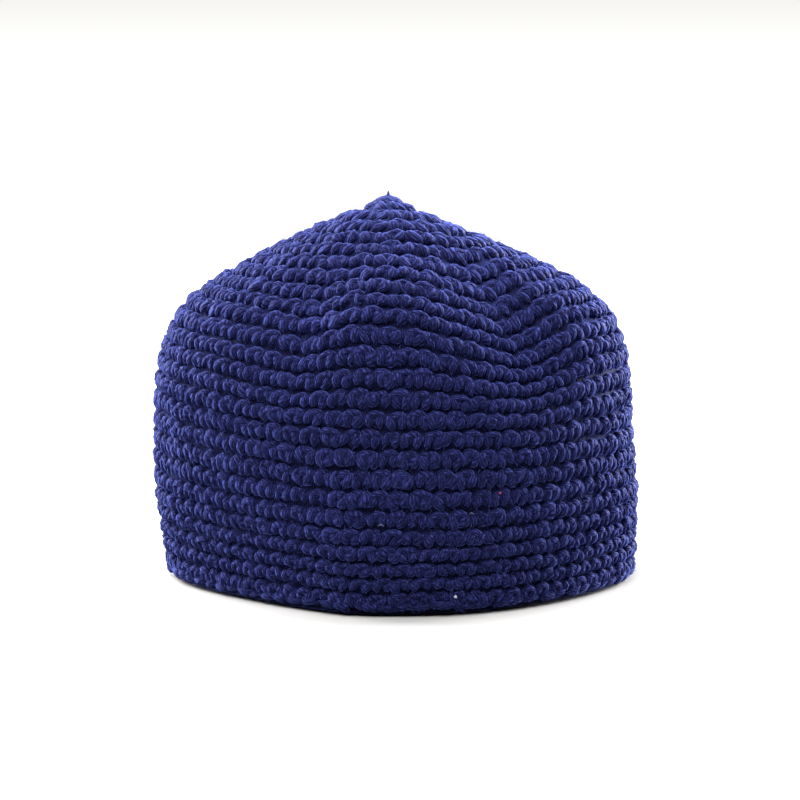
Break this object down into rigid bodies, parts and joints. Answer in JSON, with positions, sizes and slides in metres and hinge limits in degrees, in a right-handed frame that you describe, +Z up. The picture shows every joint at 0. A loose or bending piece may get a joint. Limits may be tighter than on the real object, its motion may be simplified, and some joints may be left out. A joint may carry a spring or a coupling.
{
  "type": "kufi",
  "caption": "Pointed one-piece skullcap crocheted in rounds from thick navy yarn, open at the rim to go over a head.",
  "frame": {"origin": "middle of the rim's box on the plane that the rim stands on, under the cap", "axes": "+Z up from the rim to the tip, -Y the front of the cap, +X its right side as seen from the front"},
  "size_m": [0.1821, 0.1422, 0.146],
  "materials": {
    "navy_yarn": "matte plied acrylic yarn, crocheted"
  },
  "bodies": {
    "root": {"crocheted_cap": "navy_yarn"}
  },
  "joints": []
}
